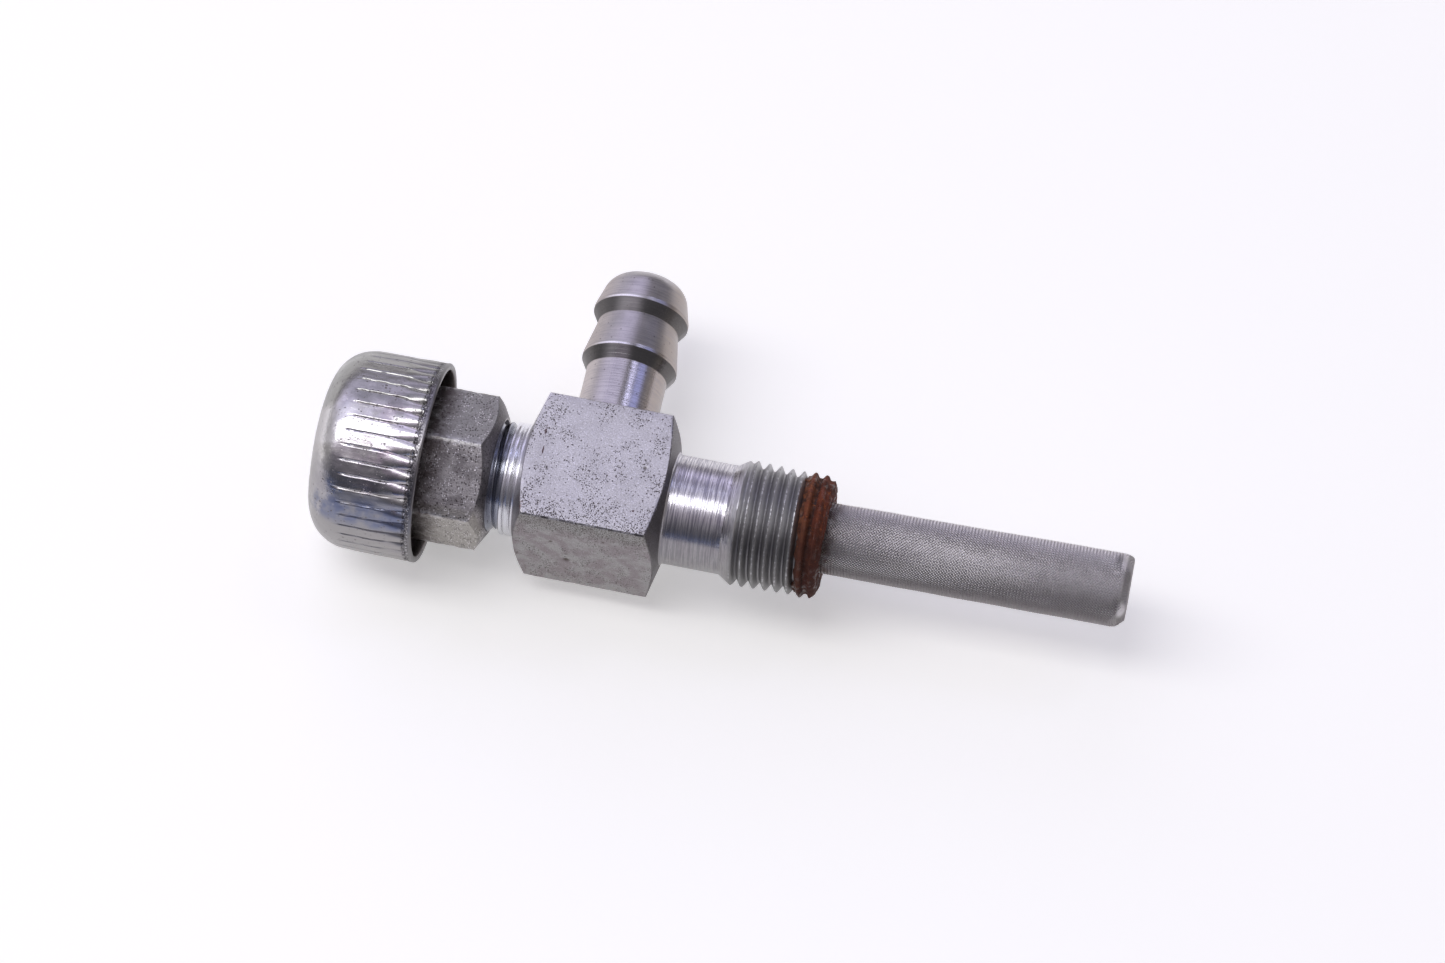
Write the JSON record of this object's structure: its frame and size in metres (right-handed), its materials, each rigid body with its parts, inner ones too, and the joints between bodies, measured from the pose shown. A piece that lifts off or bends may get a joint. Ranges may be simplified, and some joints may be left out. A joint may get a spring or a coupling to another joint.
{
  "type": "fuel tap",
  "caption": "Needle fuel tap: square body, taper inlet thread with mesh strainer, side hose barb, gland nut and knurled screw knob.",
  "frame": {"origin": "centre of the inlet end face, where the taper thread ends", "axes": "+X along the main axis from the knob to the strainer, +Y along the hose barb, +Z square to a flat of the body"},
  "size_m": [0.0653, 0.0277, 0.0162],
  "materials": {
    "body": "dull zinc plate, pitted",
    "barb": "dull zinc plate",
    "nut": "dull, scratched",
    "packing": "graphite packing",
    "washer": "plain",
    "spindle": "turned",
    "hub": "turned",
    "cap": "bright plate, worn and pitted",
    "mesh": "woven wire",
    "ring": "plain"
  },
  "bodies": {
    "valve_body": {"body": "body", "hose_barb": "barb", "gland_nut": "nut", "packing_ring_1": "packing", "packing_ring_2": "packing", "packing_ring_3": "packing", "packing_washer": "washer", "strainer_mesh": "mesh", "strainer_ring": "ring"},
    "spindle": {"spindle": "spindle"},
    "knob": {"knob_hub": "hub", "knob_cap": "cap"}
  },
  "joints": [
    {"name": "spindle_travel", "type": "slide", "parent": "valve_body", "child": "spindle", "axis": [-1, 0, 0], "range_m": [0, 0.0016]},
    {"name": "knob_turn", "type": "hinge", "parent": "spindle", "child": "knob", "pos_m": [-0.0366, 0, 0], "axis": [-1, 0, 0], "range_deg": [0, 720]}
  ],
  "couplings": [
    {"joint": "spindle_travel", "follows": "knob_turn", "m_per_rad": 0.00012732}
  ]
}
